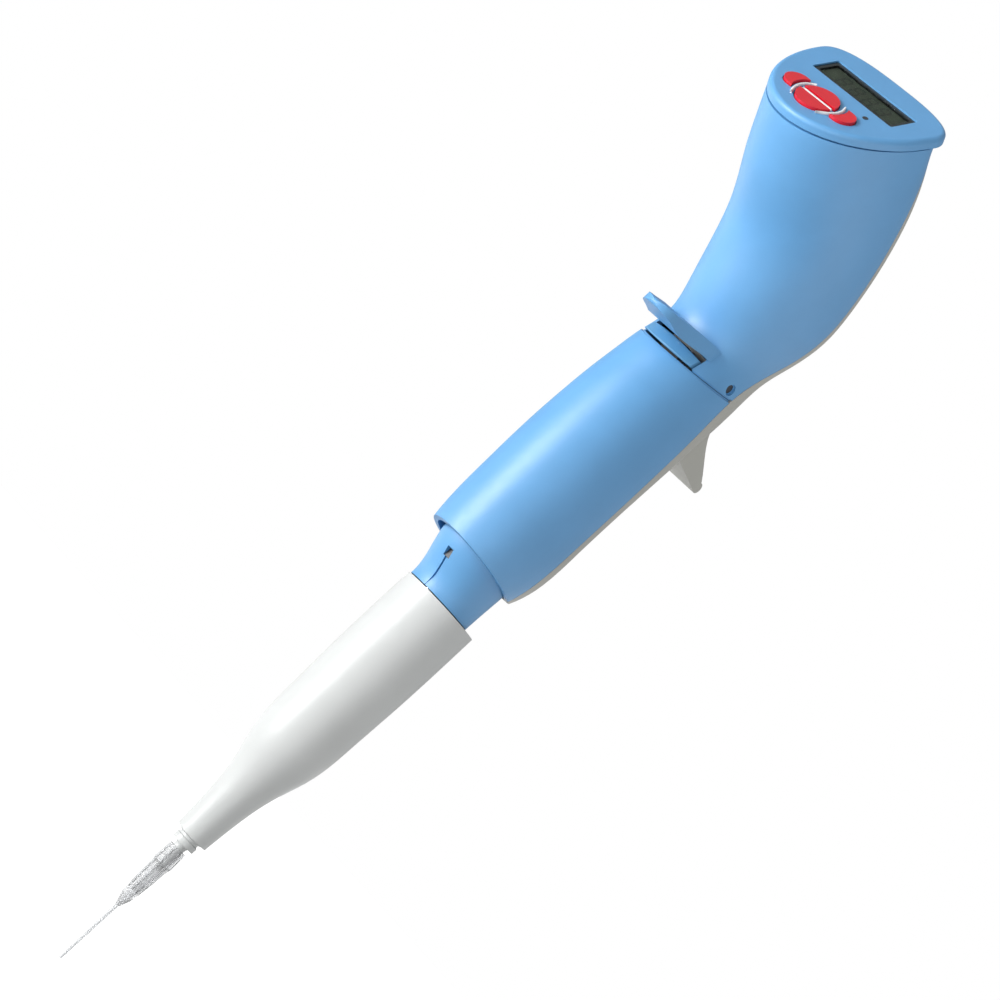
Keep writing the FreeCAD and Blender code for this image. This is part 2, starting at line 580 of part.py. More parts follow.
# ---- ejector -----------------------------------------------------------------------------------
def ejector(nodes):
    outer = smooth([V(radius, 0, z) for radius, z in SLEEVE_PROFILE])
    inner_points = [V(radius - SLEEVE_WALL, 0, z) for radius, z in SLEEVE_PROFILE]
    inner = smooth(inner_points)
    start = V(SLEEVE_PROFILE[0][0], 0, SLEEVE_PROFILE[0][1])
    end = V(SLEEVE_PROFILE[-1][0], 0, SLEEVE_PROFILE[-1][1])
    top = Part.makeLine(end, inner_points[-1])
    bottom = Part.makeLine(inner_points[0], start)
    wire = Part.Wire([outer, top, inner, bottom])
    sleeve = Part.Face(wire).revolve(V(0, 0, 0), V(0, 0, 1), 360)
    flange = tube(FLANGE_RADIUS, GUIDE_OUTER + 0.1, FLANGE_BOTTOM, FLANGE_TOP)
    sleeve = sleeve.fuse(flange)
    sleeve = sleeve.cut(rod(ROD_RADIUS, FLANGE_BOTTOM - 1, FLANGE_TOP + 1, 0, ROD_Y))
    flange_middle = (FLANGE_BOTTOM + FLANGE_TOP) / 2
    sleeve = sleeve.cut(Part.makeCylinder(SET_SCREW_RADIUS, 4, V(0, -13.5, flange_middle), V(0, 1, 0)))
    nodes["ejector_sleeve"] = sleeve.removeSplitter()
    nodes["sleeve_set_screw"] = Part.makeCylinder(SET_SCREW_RADIUS, SET_SCREW_LENGTH,
                                                  V(0, -11.8, flange_middle), V(0, 1, 0))
    nodes["ejector_ring"] = turned(RING_PROFILE)

    nodes["ejector_rod"] = rod(ROD_RADIUS, ROD_BOTTOM, ROD_TOP, 0, ROD_Y)
    plate = rounded_block(YOKE_WIDTH, YOKE_BACK_Y - YOKE_FRONT_Y, YOKE_CORNER, YOKE_BOTTOM,
                          YOKE_BOTTOM + YOKE_THICKNESS, centre=(0.0, (YOKE_BACK_Y + YOKE_FRONT_Y) / 2))
    plate = plate.cut(rod(ROD_RADIUS, YOKE_BOTTOM - 1, ROD_TOP, 0, ROD_Y))
    slot = rounded_block(YOKE_WIDTH / 2, YOKE_WIDTH, 1.5, YOKE_BOTTOM - 1, ROD_TOP, centre=(0.0, -2.0))
    nodes["ejector_yoke"] = plate.cut(slot)
    clip_low = YOKE_BOTTOM + YOKE_THICKNESS
    nodes["rod_clip"] = tube(2.3, ROD_RADIUS, clip_low, clip_low + 0.6, 0, ROD_Y)
    nodes["ejector_spring"] = coil(SPRING_RADIUS, SPRING_WIRE, SPRING_SEAT_Z, YOKE_BOTTOM, SPRING_TURNS,
                                   0, ROD_Y)


def thumb_lever(nodes):
    outer = smooth(in_side_view(LEVER_OUTER))
    tip = Part.Arc(*in_side_view(LEVER_TIP)).toShape()
    inner = in_side_view(LEVER_INNER)
    lines = [Part.makeLine(a, b) for a, b in zip(inner, inner[1:])]
    blade = Part.Face(Part.Wire([outer, tip] + lines)).extrude(V(2 * LEVER_HALF_WIDTH, 0, 0))
    blade.translate(V(-LEVER_HALF_WIDTH, 0, 0))
    outside_edges = [edge for edge in blade.Edges if edge.BoundBox.XLength < 0.1
                     and edge.BoundBox.YMax > 16.5 and edge.BoundBox.ZMax > 170]
    blade = fillet_safely(blade, outside_edges, LEVER_EDGE_RADIUS)
    pocket_corners = in_side_view(LEVER_POCKET)
    pocket = Part.Face(Part.makePolygon(pocket_corners + pocket_corners[:1]))
    pocket = pocket.extrude(V(2 * LEVER_POCKET_HALF_WIDTH, 0, 0))
    pocket.translate(V(-LEVER_POCKET_HALF_WIDTH, 0, 0))
    pivot_y, pivot_z = LEVER_PIVOT
    arm = box((-LEVER_HALF_WIDTH, LEVER_HALF_WIDTH), (pivot_y, LEVER_INNER[2][0] + 0.5), LEVER_ARM)
    hub = cross_bar(LEVER_HUB_RADIUS, LEVER_HALF_WIDTH, pivot_y, pivot_z)
    nose = cross_bar(LEVER_NOSE_RADIUS, LEVER_NOSE_HALF_WIDTH, *LEVER_NOSE)
    web = box((-LEVER_NOSE_HALF_WIDTH, LEVER_NOSE_HALF_WIDTH), (LEVER_NOSE[0] - 1.0, LEVER_NOSE[0] + 1.0),
              (LEVER_NOSE[1], LEVER_ARM[0] + 1.0))
    lever = blade.cut(pocket).fuse([arm, hub, nose, web]).removeSplitter()
    lever = lever.cut(cross_bar(PIN_RADIUS + PIN_CLEARANCE, 20, pivot_y, pivot_z))
    nodes["ejector_lever"] = lever
    nodes["lever_pin"] = cross_bar(PIN_RADIUS, PIN_HALF_LENGTH, pivot_y, pivot_z)
    near, far = SPACER_REACH
    spacers = [tube_along_x(SPACER_RADIUS, PIN_RADIUS, *ends) for ends in ((near, far), (-far, -near))]
    nodes["pin_spacers"] = Part.makeCompound(spacers)


def tube_along_x(outer, inner, x_low, x_high):
    pivot_y, pivot_z = LEVER_PIVOT
    start = V(x_low, pivot_y, pivot_z)
    shell = Part.makeCylinder(outer, x_high - x_low, start, V(1, 0, 0))
    return shell.cut(Part.makeCylinder(inner, x_high - x_low, start, V(1, 0, 0)))


# ---- neck, nozzle and piston drive -------------------------------------------------------------
def neck(nodes):
    collar = Part.makeLoft([section_wire(*section) for section in NECK_SECTIONS], True, False)
    collar = collar.cut(rod(GUIDE_OUTER, 80, 120))
    collar = collar.cut(rod(ROD_RADIUS + 0.2, 80, 120, 0, ROD_Y))
    collar = collar.cut(box((-0.3, 0.3), (-20, -12.0), (80, 98.6)))
    collar = collar.cut(box((-1.1, 1.1), (-20, -13.8), (98.4, 100.8)))
    nodes["neck_collar"] = collar
    nodes["neck_catch"] = box((-1.0, 1.0), (-15.0, -13.8), (98.5, 100.7))


def nozzle(nodes):
    bore = PISTON_RADIUS + CYLINDER_CLEARANCE
    profile = [(bore, NOZZLE_END_Z), (NOZZLE_SEAT_END, NOZZLE_END_Z), (NOZZLE_SEAT_TOP, -0.6),
               (NOZZLE_SHAFT_RADIUS, 0.4), (NOZZLE_SHAFT_RADIUS, 23.0), (GUIDE_INNER, 33.0),
               (GUIDE_INNER, 58.0), (SEAL_RADIUS, 58.0), (SEAL_RADIUS, SEAL_BOTTOM), (bore, SEAL_BOTTOM)]
    nodes["nozzle_shaft"] = turned(profile)
    nodes["piston_seal"] = tube(SEAL_RADIUS, PISTON_RADIUS + 0.02, SEAL_BOTTOM, SEAL_TOP)
    nodes["seal_retainer"] = tube(SEAL_RADIUS, 1.6, SEAL_TOP, SEAL_TOP + 2.6)
    guide = tube(GUIDE_OUTER, GUIDE_INNER, 40.0, GUIDE_TOP)
    flange = tube(9.4, GUIDE_OUTER, 107.3, 110.0).cut(rod(ROD_RADIUS + 0.2, 100, 112, 0, ROD_Y))
    guide = guide.fuse(flange).cut(box((4.0, 8.0), (-1.0, 1.0), (61.0, 97.0)))
    nodes["guide_tube"] = guide

    tip_in_top = NOZZLE_SEAT_TOP + TIP_CLEARANCE - 0.03
    wall_z = -11.0
    tip = [(tip_in_top, TIP_MOUTH_Z), (2.65, TIP_MOUTH_Z), (2.65, -7.0), (2.3, -7.6), (1.85, -19.0),
           (0.62, -22.5), (0.45, TIP_END_Z), (0.22, TIP_END_Z), (0.3, -22.0), (1.25, wall_z - 6),
           (1.45, wall_z), (NOZZLE_SEAT_END + TIP_CLEARANCE, NOZZLE_END_Z - 0.4)]
    nodes["disposable_tip"] = turned(tip)


def piston_drive(nodes):
    nodes["piston_rod"] = rod(PISTON_RADIUS, NOZZLE_END_Z + 2.5, CARRIAGE_BOTTOM + 3.0)
    carriage = rod(CARRIAGE_RADIUS, CARRIAGE_BOTTOM, CARRIAGE_TOP)
    carriage = carriage.cut(rod(SCREW_RADIUS + 0.8, CARRIAGE_BOTTOM + 4.4, CARRIAGE_TOP + 1))
    carriage = carriage.cut(rod(PISTON_RADIUS, CARRIAGE_BOTTOM - 1, CARRIAGE_BOTTOM + 3.0))
    carriage = carriage.cut(rod(NUT_RADIUS, CARRIAGE_TOP - NUT_LENGTH, CARRIAGE_TOP + 1))
    key = box((4.5, 6.5), (-0.8, 0.8), (CARRIAGE_TOP - 8, CARRIAGE_TOP - 2))
    nodes["piston_carriage"] = carriage.fuse(key)
    nodes["drive_nut"] = tube(NUT_RADIUS, SCREW_RADIUS + 0.05, CARRIAGE_TOP - NUT_LENGTH, CARRIAGE_TOP)
    screw = rod(SCREW_RADIUS, CARRIAGE_TOP - 7, MOTOR_BOTTOM - 2.0)
    nodes["lead_screw"] = screw.fuse(rod(SHAFT_RADIUS, MOTOR_BOTTOM - 2.0, MOTOR_TOP - 1.2))
    nodes["motor_rotor"] = tube(ROTOR_RADIUS, SHAFT_RADIUS, MOTOR_BOTTOM + 4.5, MOTOR_TOP - 4.5)
    can = rod(MOTOR_RADIUS, MOTOR_BOTTOM, MOTOR_TOP)
    can = can.cut(rod(MOTOR_RADIUS - 1.0, MOTOR_BOTTOM + 1, MOTOR_TOP - 1))
    can = can.cut(rod(SHAFT_RADIUS + 0.4, MOTOR_BOTTOM - 1, MOTOR_BOTTOM + 2))
    nodes["motor_can"] = can
    bearings = [tube(BEARING_RADIUS, SHAFT_RADIUS + 0.02, low, low + BEARING_LENGTH)
                for low in (MOTOR_BOTTOM + 1, MOTOR_TOP - 1 - BEARING_LENGTH)]
    nodes["motor_bearings"] = Part.makeCompound(bearings)


def chassis(nodes):
    spine = box((-6, 6), (SPINE_BACK_Y - 2.0, SPINE_BACK_Y), (108.0, 172.0))
    spring_seat = box((-5, 5), (SPINE_BACK_Y, -6.6), (SPRING_SEAT_Z - 1.6, SPRING_SEAT_Z))
    motor_top = box((-8.8, 8.8), (SPINE_BACK_Y, 7.6), (MOTOR_TOP, MOTOR_TOP + 1.6))
    motor_base = box((-8.8, 8.8), (SPINE_BACK_Y, 7.6), (MOTOR_BOTTOM - 1.6, MOTOR_BOTTOM))
    frame = spine.fuse([spring_seat, motor_top, motor_base])
    frame = frame.cut(rod(ROD_RADIUS + 0.2, 100, 172, 0, ROD_Y))
    frame = frame.cut(rod(SCREW_RADIUS + 0.8, 100, MOTOR_BOTTOM + 1))
    nodes["chassis"] = frame.removeSplitter()
    posts = [rod(1.2, 110.0, MOTOR_BOTTOM - 1.6, x, 1.0) for x in (-8.1, 8.1)]
    nodes["motor_posts"] = Part.makeCompound(posts)


def power(nodes):
    half = CELL_HALF_LENGTH
    cell = rod(CELL_RADIUS, -half, half).fuse(rod(2.6, half, half + 1.2))
    cradle = tube(CELL_RADIUS + 1.6, CELL_RADIUS + 0.1, 1.0 - half, half - 1.0)
    cradle = cradle.common(box((-12, 12), (-1.0, 12), (-20, 20)))
    place = FreeCAD.Placement(V(0, *CELL_CENTRE), FreeCAD.Rotation(V(1, 0, 0), CELL_LEAN))
    for name, shape in (("battery", cell), ("battery_cradle", cradle)):
        shape.Placement = place
        nodes[name] = shape
    floor_y = JACK_MOUTH_Y - JACK_LENGTH
    sleeve = Part.makeCylinder(JACK_SLEEVE_RADIUS, JACK_LENGTH + 1.0, V(0, floor_y - 1.0, JACK_Z), V(0, 1, 0))
    socket = Part.makeCylinder(JACK_RADIUS, JACK_LENGTH, V(0, floor_y, JACK_Z), V(0, 1, 0))
    nodes["charging_jack"] = sleeve.cut(socket)


def write(nodes):
    os.makedirs("parts", exist_ok=True)
    for name, shape in nodes.items():
        if not shape.isValid() or not shape.Solids:
            print("PROBLEM with", name)
        solid = shape.Solids[0] if len(shape.Solids) == 1 else Part.makeCompound(shape.Solids)
        solid.exportStep(os.path.join("parts", name + ".step"))
        size = shape.BoundBox
        print("%-18s %d solid(s) %9.1f mm3  x %.1f..%.1f  y %.1f..%.1f  z %.1f..%.1f" % (
            name, len(shape.Solids), shape.Volume,
            size.XMin, size.XMax, size.YMin, size.YMax, size.ZMin, size.ZMax))


model = {}
handle_shells(model)
face_plate(model)
finger_rest(model)
start_trigger(model)
ejector(model)
thumb_lever(model)
neck(model)
nozzle(model)
piston_drive(model)
chassis(model)
power(model)
fasteners(model)
write(model)
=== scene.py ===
# Electronic micropipette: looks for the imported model, in metres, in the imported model's frame.
import bpy
import json
import math
from mathutils import Matrix, Vector


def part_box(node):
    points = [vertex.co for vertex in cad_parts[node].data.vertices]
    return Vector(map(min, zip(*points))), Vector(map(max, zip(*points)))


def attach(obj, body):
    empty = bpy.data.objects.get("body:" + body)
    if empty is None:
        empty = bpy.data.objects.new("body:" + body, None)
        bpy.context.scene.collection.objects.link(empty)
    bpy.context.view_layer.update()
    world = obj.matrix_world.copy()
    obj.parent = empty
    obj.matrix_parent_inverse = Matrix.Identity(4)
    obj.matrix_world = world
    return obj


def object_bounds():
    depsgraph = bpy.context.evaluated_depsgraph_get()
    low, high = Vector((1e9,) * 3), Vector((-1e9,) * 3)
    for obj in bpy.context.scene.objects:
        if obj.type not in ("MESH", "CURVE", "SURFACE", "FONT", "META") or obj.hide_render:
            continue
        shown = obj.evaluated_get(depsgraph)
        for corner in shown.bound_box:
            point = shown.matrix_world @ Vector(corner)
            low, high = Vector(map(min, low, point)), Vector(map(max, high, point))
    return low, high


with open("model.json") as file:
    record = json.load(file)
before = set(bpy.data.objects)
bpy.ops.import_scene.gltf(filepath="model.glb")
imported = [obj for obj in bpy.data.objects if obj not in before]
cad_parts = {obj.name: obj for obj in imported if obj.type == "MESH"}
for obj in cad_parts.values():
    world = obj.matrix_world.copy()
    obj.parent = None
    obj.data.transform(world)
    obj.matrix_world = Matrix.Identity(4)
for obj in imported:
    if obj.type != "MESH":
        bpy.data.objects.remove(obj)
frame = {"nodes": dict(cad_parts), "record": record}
CAD_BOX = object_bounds()
MM = 0.001

# Scales of the procedural patterns, in waves per metre, and how far they change the gloss.
MOTTLE_SCALE = 90.0
GLOSS_SCALE = 420.0
GRAIN_SCALE = 5200.0
BRUSH_SCALE = 1500.0
HAZE_SCALE = 700.0
GLOSS_SPREAD = 0.07
# Heights of the patterns' relief.
GRAIN_DEPTH = 0.012 * MM
BRUSH_DEPTH = 0.004 * MM
HAZE_DEPTH = 0.003 * MM

# Shared ends of the pattern value between which a colour ramp runs.
RAMP_LOW = 0.3
RAMP_HIGH = 0.7


# ---- materials ---------------------------------------------------------------------------------
class Shader:
    """Small helper that builds one procedural material."""

    def __init__(self, name):
        self.material = bpy.data.materials.new(name)
        self.material.use_nodes = True
        self.nodes = self.material.node_tree.nodes
        self.links = self.material.node_tree.links
        self.surface = self.nodes["Principled BSDF"]
        self.coordinates = self.nodes.new("ShaderNodeTexCoord")

    def add(self, kind, **values):
        node = self.nodes.new(kind)
        for key, value in values.items():
            socket = node.inputs.get(key.replace("_", " "))
            if socket is None:
                setattr(node, key, value)
            else:
                socket.default_value = value
        return node

    def noise(self, scale, detail=3.0, stretch=None):
        node = self.add("ShaderNodeTexNoise", Scale=scale, Detail=detail)
        source = self.coordinates.outputs["Object"]
        if stretch:
            mapping = self.add("ShaderNodeMapping")
            mapping.inputs["Scale"].default_value = stretch
            self.links.new(source, mapping.inputs["Vector"])
            source = mapping.outputs["Vector"]
        self.links.new(source, node.inputs["Vector"])
        return node.outputs["Fac"]

    def ramp(self, source, stops):
        node = self.add("ShaderNodeValToRGB")
        elements = node.color_ramp.elements
        while len(elements) < len(stops):
            elements.new(0.5)
        for element, (place, colour) in zip(elements, stops):
            element.position = place
            element.color = (*colour, 1.0)
        self.links.new(source, node.inputs["Fac"])
        return node.outputs["Color"]

    def remap(self, source, low, high):
        node = self.add("ShaderNodeMapRange")
        node.inputs["To Min"].default_value = low
        node.inputs["To Max"].default_value = high
        self.links.new(source, node.inputs["Value"])
        return node.outputs["Result"]

    def set(self, **values):
        for key, value in values.items():
            self.surface.inputs[key.replace("_", " ")].default_value = value

    def connect(self, source, socket):
        self.links.new(source, self.surface.inputs[socket])

    def bump(self, height, distance, strength=1.0):
        node = self.add("ShaderNodeBump", Strength=strength, Distance=distance)
        self.links.new(height, node.inputs["Height"])
        self.links.new(node.outputs["Normal"], self.surface.inputs["Normal"])


def shade(colour, factor):
    return tuple(min(1.0, channel * factor) for channel in colour)


def moulded(name, colour, roughness=0.42, grain=GRAIN_SCALE, spread=0.06, **extra):
    """Moulded plastic: faint mottle, fine spark-eroded grain and slightly uneven gloss."""
    shader = Shader(name)
    stops = [(RAMP_LOW, shade(colour, 1 - spread)), (RAMP_HIGH, shade(colour, 1 + spread))]
    shader.connect(shader.ramp(shader.noise(MOTTLE_SCALE, 4.0), stops), "Base Color")
    gloss = shader.remap(shader.noise(GLOSS_SCALE, 5.0), roughness - GLOSS_SPREAD, roughness + GLOSS_SPREAD)
    shader.connect(gloss, "Roughness")
    shader.bump(shader.noise(grain, 2.0), GRAIN_DEPTH)
    shader.set(**extra)
    return shader.material


def brushed(name, colour, roughness=0.3):
    """Metal with fine lines along the barrel."""
    shader = Shader(name)
    lines = shader.noise(BRUSH_SCALE, 3.0, stretch=(1.0, 1.0, 0.04))
    stops = [(RAMP_LOW, shade(colour, 0.86)), (RAMP_HIGH, colour)]
    shader.connect(shader.ramp(lines, stops), "Base Color")
    shader.connect(shader.remap(lines, roughness - 0.08, roughness + 0.1), "Roughness")
    shader.bump(lines, BRUSH_DEPTH)
    shader.set(Metallic=1.0)
    return shader.material


def clear(name, colour, roughness, ior, transmission=1.0):
    """Clear plastic with a slight haze."""
    shader = Shader(name)
    haze = shader.noise(HAZE_SCALE, 4.0)
    stops = [(RAMP_LOW, shade(colour, 0.96)), (RAMP_HIGH, colour)]
    shader.connect(shader.ramp(haze, stops), "Base Color")
    shader.connect(shader.remap(haze, roughness, roughness + 0.06), "Roughness")
    shader.bump(haze, HAZE_DEPTH)
    shader.set(Transmission_Weight=transmission, IOR=ior)
    return shader.material


# One material for each material slot of the record.
MATERIALS = {
    "blue_shell": moulded("blue_shell", (0.105, 0.318, 0.6), 0.45, spread=0.03, Specular_IOR_Level=0.75),
    "grey_shell": moulded("grey_shell", (0.42, 0.42, 0.385), 0.45, spread=0.03),
    "white_sleeve": moulded("white_sleeve", (0.555, 0.57, 0.565), 0.38, spread=0.02),
    "red_button": moulded("red_button", (0.62, 0.01, 0.022), 0.3, grain=3000.0),
    "black_plastic": moulded("black_plastic", (0.006, 0.011, 0.011), 0.25),
    "dark_plastic": moulded("dark_plastic", (0.03, 0.034, 0.04), 0.45),
    "teal_plastic": moulded("teal_plastic", (0.085, 0.26, 0.47), 0.45),
    "lens": clear("lens", (0.85, 0.9, 0.86), 0.03, 1.06),
    "lcd": moulded("lcd", (0.065, 0.08, 0.062), 0.5, Specular_IOR_Level=0.2),
    "tip_plastic": clear("tip_plastic", (0.9, 0.91, 0.92), 0.2, 1.3, 0.72),
    "rubber": moulded("rubber", (0.03, 0.03, 0.032), 0.6),
    "steel": brushed("steel", (0.6, 0.61, 0.63)),
    "brass": brushed("brass", (0.62, 0.45, 0.2)),
    "board": moulded("board", (0.02, 0.14, 0.05), 0.4),
    "battery_wrap": moulded("battery_wrap", (0.04, 0.08, 0.16), 0.3),
}
# Materials of the pieces that are added here.
TRIM = {
    "divider": moulded("divider", (0.7, 0.72, 0.74), 0.4, spread=0.02),
    "segments": moulded("segments", (0.022, 0.03, 0.023), 0.4, Specular_IOR_Level=0.2),
}

# Width of the rounding on the sharp edges of each moulding, in millimetres.
EDGE_ROUNDING = {
    "grip_shell": 0.3, "head_shell": 0.3, "rear_shell": 0.25, "neck_collar": 0.25,
    "finger_rest": 0.45, "start_trigger": 0.25, "ejector_lever": 0.45, "lever_pin": 0.15,
    "ejector_ring": 0.2, "ejector_sleeve": 0.35, "disposable_tip": 0.1,
    "face_plate": 0.2, "display_bezel": 0.12, "status_led": 0.1,
    "button_select": 0.35, "button_enter": 0.35, "button_left": 0.35, "button_right": 0.35,
    "case_screws": 0.12, "charging_jack": 0.15, "battery": 0.4, "battery_cradle": 0.3,
    "chassis": 0.25, "motor_can": 0.3, "piston_carriage": 0.25,
}
BEVEL_SEGMENTS = 3
SHARP_EDGE = 38               # degrees between two faces from which their edge is rounded


def round_edges():
    for name, width in EDGE_ROUNDING.items():
        piece = frame["nodes"][name]
        bevel = piece.modifiers.new("edge_rounding", "BEVEL")
        bevel.width = width * MM
        bevel.segments = BEVEL_SEGMENTS
        bevel.limit_method = "ANGLE"
        bevel.angle_limit = math.radians(SHARP_EDGE)


def dress_cad_nodes():
    for part in frame["record"]["subparts"]:
        piece = frame["nodes"][part["node"]]
        piece.data.materials.clear()
        piece.data.materials.append(MATERIALS[part["material_slot"]])


# ---- pieces that the CAD leaves plain ----------------------------------------------------------
def centre_of(node):
    low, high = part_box(node)
    return (Vector(low) + Vector(high)) / 2


def reach(node, direction):
    """Furthest that a CAD node's vertices go along a direction."""
    piece = frame["nodes"][node]
    return max((piece.matrix_world @ vertex.co).dot(direction) for vertex in piece.data.vertices)


def add_piece(name, vertices, faces, body, material):
    mesh = bpy.data.meshes.new(name)
    mesh.from_pydata(vertices, [], faces)
    mesh.update()
    mesh.materials.append(material)
    for polygon in mesh.polygons:
        polygon.use_smooth = True
    piece = bpy.data.objects.new(name, mesh)
    bpy.context.scene.collection.objects.link(piece)
    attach(piece, body)
    return piece


def plate_frame():
    """The face plate's own directions: across, up the plate, and out of it."""
    joints = {joint["name"]: joint for joint in frame["record"]["behaviour"]["joints"]}
    out = -Vector(joints["select_press"]["axis"])
    across = Vector((1, 0, 0))
    return across, out.cross(across), out


# Cross-section of a rib, in half widths and heights, and how much narrower it is at its ends.
RIB_PROFILE = [(-1.0, 0.0), (-0.95, 0.6), (-0.62, 0.92), (0.0, 1.0), (0.62, 0.92), (0.95, 0.6), (1.0, 0.0)]
RIB_END = 0.55


def sweep(path, out, half_width, height, base):
    """A low rounded rib along a path of points in a plane whose outward direction is out."""
    vertices = []
    for index, point in enumerate(path):
        before = path[max(index - 1, 0)]
        after = path[min(index + 1, len(path) - 1)]
        along = (after - before).normalized()
        side = along.cross(out)
        shrink = RIB_END if index in (0, len(path) - 1) else 1.0
        for across, up in RIB_PROFILE:
            vertices.append(point + side * across * half_width * shrink + out * (base + up * height))
    count = len(RIB_PROFILE)
    faces = []
    for ring in range(len(path) - 1):
        for corner in range(count):
            here = ring * count + corner
            beside = ring * count + (corner + 1) % count
            faces.append((here, beside, beside + count, here + count))
    faces.append(tuple(range(count)))
    faces.append(tuple(range((len(path) - 1) * count, len(path) * count))[::-1])
    return vertices, faces


# Path of the rib beside a crescent, in millimetres across and up the plate from the oval's centre.
DIVIDER_SIDE = [(4.7, -5.0), (5.5, -3.8), (6.25, -2.4), (6.8, -0.8), (7.0, 0.7), (6.85, 2.2), (6.3, 3.6),
                (5.5, 4.9)]
# Path of the rib across the oval.
DIVIDER_BAR = [(-5.4 + 1.2 * step, 0.0) for step in range(10)]
DIVIDER_HALF_WIDTH = 0.42 * MM
DIVIDER_HEIGHT = 0.75 * MM
DIVIDER_BASE = -0.1 * MM      # its foot lies below the plate's surface


def add_button_divider():
    """Pale ribs that part the four buttons: one across the oval pair and one beside each crescent."""
    across, up, out = plate_frame()
    middle = (centre_of("button_select") + centre_of("button_enter")) / 2
    surface = reach("face_plate", out)
    origin = middle + out * (surface - middle.dot(out))
    vertices = []
    faces = []
    for places in [DIVIDER_BAR] + [[(sign * x, v) for x, v in DIVIDER_SIDE] for sign in (-1, 1)]:
        path = [origin + across * x * MM + up * v * MM for x, v in places]
        more, sides = sweep(path, out, DIVIDER_HALF_WIDTH, DIVIDER_HEIGHT, DIVIDER_BASE)
        faces += [tuple(corner + len(vertices) for corner in side) for side in sides]
        vertices += more
    add_piece("button_divider", vertices, faces, "handle", TRIM["divider"])


DIGITS = 4
DIGIT_PITCH = 4.9 * MM
DIGIT_HALF_WIDTH = 1.25 * MM
DIGIT_HALF_HEIGHT = 2.3 * MM
BAR_HALF_THICKNESS = 0.32 * MM
BAR_GAP = 0.1 * MM            # at each end of a bar
BAR_FOOT = 0.01 * MM          # from the panel to a bar's underside
BAR_HEIGHT = 0.03 * MM
# Centre of each bar of a digit, in half digit widths and heights, and 1 where it stands upright.
SEGMENT_ENDS = {
    "top": (0.0, 1.0, 0), "middle": (0.0, 0.0, 0), "bottom": (0.0, -1.0, 0),
    "upper_left": (-1.0, 0.5, 1), "upper_right": (1.0, 0.5, 1),
    "lower_left": (-1.0, -0.5, 1), "lower_right": (1.0, -0.5, 1),
}


def add_lcd_segments():
    """All the bars of four digits, as an idle liquid crystal panel shows them."""
    across, up, out = plate_frame()
    middle = centre_of("lcd_panel")
    origin = middle + out * (reach("lcd_panel", out) - middle.dot(out) + BAR_FOOT)
    thick = BAR_HALF_THICKNESS
    vertices = []
    faces = []
    for digit in range(DIGITS):
        place = origin + across * (digit - (DIGITS - 1) / 2) * DIGIT_PITCH
        for x, v, upright in SEGMENT_ENDS.values():
            half = DIGIT_HALF_HEIGHT / 2 if upright else DIGIT_HALF_WIDTH
            along = up if upright else across
            side = across if upright else up
            centre = place + across * x * DIGIT_HALF_WIDTH + up * v * DIGIT_HALF_HEIGHT
            tip = half - BAR_GAP
            outline = [along * tip, along * (tip - thick) + side * thick,
                       -along * (tip - thick) + side * thick, -along * tip,
                       -along * (tip - thick) - side * thick, along * (tip - thick) - side * thick]
            start = len(vertices)
            vertices += [centre + corner for corner in outline]
            vertices += [centre + corner + out * BAR_HEIGHT for corner in outline]
            faces.append(tuple(start + index for index in range(6)))
            faces.append(tuple(start + 6 + index for index in reversed(range(6))))
            for index in range(6):
                following = (index + 1) % 6
                faces.append((start + index, start + index + 6, start + following + 6, start + following))
    piece = add_piece("lcd_segments", vertices, faces, "handle", TRIM["segments"])
    for polygon in piece.data.polygons:
        polygon.use_smooth = False


TIP_RIBS = 8
TIP_RIB_PROUD = 0.22 * MM
TIP_RIB_END_PROUD = 0.02 * MM
TIP_RIB_ROOT = 0.15 * MM      # depth of a rib's root below the collar's surface
TIP_RIB_HALF_ROOT = 0.22 * MM
TIP_RIB_HALF_CREST = 0.1 * MM
# Along a rib: distance below the tip's mouth, and how much narrower than the collar the tip is there.
TIP_RIB_STATIONS = [(0.5 * MM, 0.0), (5.2 * MM, 0.0), (6.4 * MM, 0.32 * MM), (12.0 * MM, 0.55 * MM),
                    (15.5 * MM, 0.7 * MM)]


def add_tip_ribs():
    """Lengthwise ribs round the disposable tip's collar."""
    low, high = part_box("disposable_tip")
    collar = (high[0] - low[0]) / 2
    vertices = []
    faces = []
    stations = [(high[2] - below, collar - inset) for below, inset in TIP_RIB_STATIONS]
    for rib in range(TIP_RIBS):
        turn = Matrix.Rotation(2.0 * math.pi * (rib + 0.5) / TIP_RIBS, 3, "Z")
        start = len(vertices)
        for index, (height, radius) in enumerate(stations):
            root = radius - TIP_RIB_ROOT
            crest = radius + (TIP_RIB_END_PROUD if index in (0, len(stations) - 1) else TIP_RIB_PROUD)
            for x, y in ((root, -TIP_RIB_HALF_ROOT), (crest, -TIP_RIB_HALF_CREST),
                         (crest, TIP_RIB_HALF_CREST), (root, TIP_RIB_HALF_ROOT)):
                vertices.append(turn @ Vector((x, y, height)))
        for ring in range(len(stations) - 1):
            for corner in range(4):
                here = start + ring * 4
                following = (corner + 1) % 4
                faces.append((here + corner, here + corner + 4, here + following + 4, here + following))
        faces.append((start, start + 1, start + 2, start + 3))
        last = start + (len(stations) - 1) * 4
        faces.append((last + 3, last + 2, last + 1, last))
    add_piece("tip_ribs", vertices, faces, "tip", MATERIALS["tip_plastic"])


# ---- camera, floor and lights ------------------------------------------------------------------
CAMERA_AZIMUTH = 33.3
CAMERA_ELEVATION = -4.95
CAMERA_ROLL = 47.3
CAMERA_DISTANCE = 0.9
CAMERA_AIM = Vector((-0.0115, 0.0, 0.1199))
CAMERA_LENS = 124.8
KEY_POWER = 14.5
FILL_POWER = 3.0
AMBIENT = 0.42                # strength of the white surroundings as a light
FLOOR_DROP = 0.1
FLOOR_HALF_SIZE = 8.0
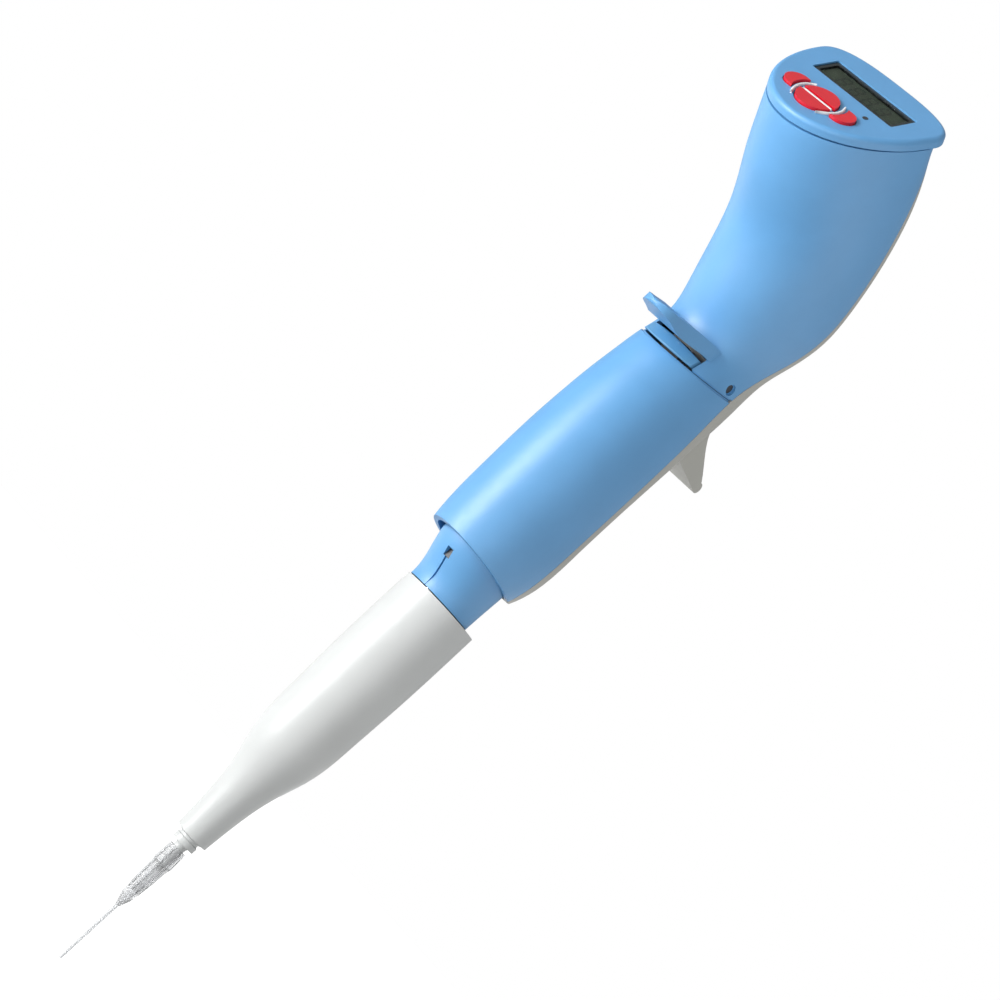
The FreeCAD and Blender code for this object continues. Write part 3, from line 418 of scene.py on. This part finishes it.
# Distances between which the floor turns from plain pale to the studio's white.
FLOOR_FADE = (0.42, 0.85)


def camera_axes():
    """The picture's right and up, and the direction from the pipette to the camera."""
    azimuth = math.radians(CAMERA_AZIMUTH)
    elevation = math.radians(CAMERA_ELEVATION)
    roll = math.radians(CAMERA_ROLL)
    level_part = math.cos(elevation)
    back = Vector((math.sin(azimuth) * level_part, -math.cos(azimuth) * level_part, math.sin(elevation)))
    level = Vector((0, 0, 1)).cross(back).normalized()
    up = back.cross(level)
    right = level * math.cos(roll) + up * math.sin(roll)
    return right, back.cross(right), back


def add_camera():
    right, up, back = camera_axes()
    data = bpy.data.cameras.new("camera")
    data.lens = CAMERA_LENS
    camera = bpy.data.objects.new("camera", data)
    turn = Matrix((right, up, back)).transposed().to_4x4()
    camera.matrix_world = Matrix.Translation(CAMERA_AIM + back * CAMERA_DISTANCE) @ turn
    bpy.context.scene.collection.objects.link(camera)
    bpy.context.scene.camera = camera


def add_light(name, direction, distance, size, power):
    data = bpy.data.lights.new(name, "AREA")
    data.shape = "DISK"
    data.size = size
    data.energy = power
    light = bpy.data.objects.new(name, data)
    toward = direction.normalized()
    turn = toward.to_track_quat("Z", "Y").to_matrix().to_4x4()
    light.matrix_world = Matrix.Translation(CAMERA_AIM + toward * distance) @ turn
    bpy.context.scene.collection.objects.link(light)


def add_studio():
    """Soft key from the picture's upper left, weak fill, and white surroundings as a gentle light."""
    right, up, back = camera_axes()
    add_light("key", back * 0.6 + up * 0.8 - right * 0.8, 1.1, 0.6, KEY_POWER)
    add_light("fill", back * 1.0 - right * 0.1 - up * 0.2, 1.5, 0.9, FILL_POWER)
    world = bpy.data.worlds.new("studio")
    world.use_nodes = True
    nodes = world.node_tree.nodes
    links = world.node_tree.links
    path = nodes.new("ShaderNodeLightPath")
    strength = nodes.new("ShaderNodeMapRange")
    strength.inputs["To Min"].default_value = AMBIENT
    strength.inputs["To Max"].default_value = 1.0
    background = nodes["Background"]
    background.inputs["Color"].default_value = (1.0, 1.0, 1.0, 1.0)
    links.new(path.outputs["Is Camera Ray"], strength.inputs["Value"])
    links.new(strength.outputs["Result"], background.inputs["Strength"])
    bpy.context.scene.world = world
    bpy.context.scene.view_settings.view_transform = "Standard"


def add_floor():
    """Pale floor below the held pipette that fades into the white surroundings with distance."""
    size = FLOOR_HALF_SIZE
    low = CAD_BOX[0][2] - FLOOR_DROP
    corners = [(-size, -size, low), (size, -size, low), (size, size, low), (-size, size, low)]
    mesh = bpy.data.meshes.new("floor")
    mesh.from_pydata(corners, [], [(0, 1, 2, 3)])
    floor = bpy.data.objects.new("floor", mesh)
    bpy.context.scene.collection.objects.link(floor)
    shader = Shader("floor")
    stops = [(RAMP_LOW, (0.8, 0.8, 0.8)), (RAMP_HIGH, (0.84, 0.84, 0.84))]
    shader.connect(shader.ramp(shader.noise(3.0), stops), "Base Color")
    distance = shader.add("ShaderNodeVectorMath", operation="LENGTH")
    shader.links.new(shader.coordinates.outputs["Object"], distance.inputs[0])
    fade = shader.add("ShaderNodeMapRange")
    fade.inputs["From Min"].default_value = FLOOR_FADE[0]
    fade.inputs["From Max"].default_value = FLOOR_FADE[1]
    shader.links.new(distance.outputs["Value"], fade.inputs["Value"])
    shader.connect(fade.outputs["Result"], "Emission Strength")
    shader.set(Roughness=0.9, Emission_Color=(1.0, 1.0, 1.0, 1.0), Specular_IOR_Level=0.1)
    mesh.materials.append(shader.material)


dress_cad_nodes()
round_edges()
add_button_divider()
add_lcd_segments()
add_tip_ribs()
add_camera()
add_studio()
add_floor()
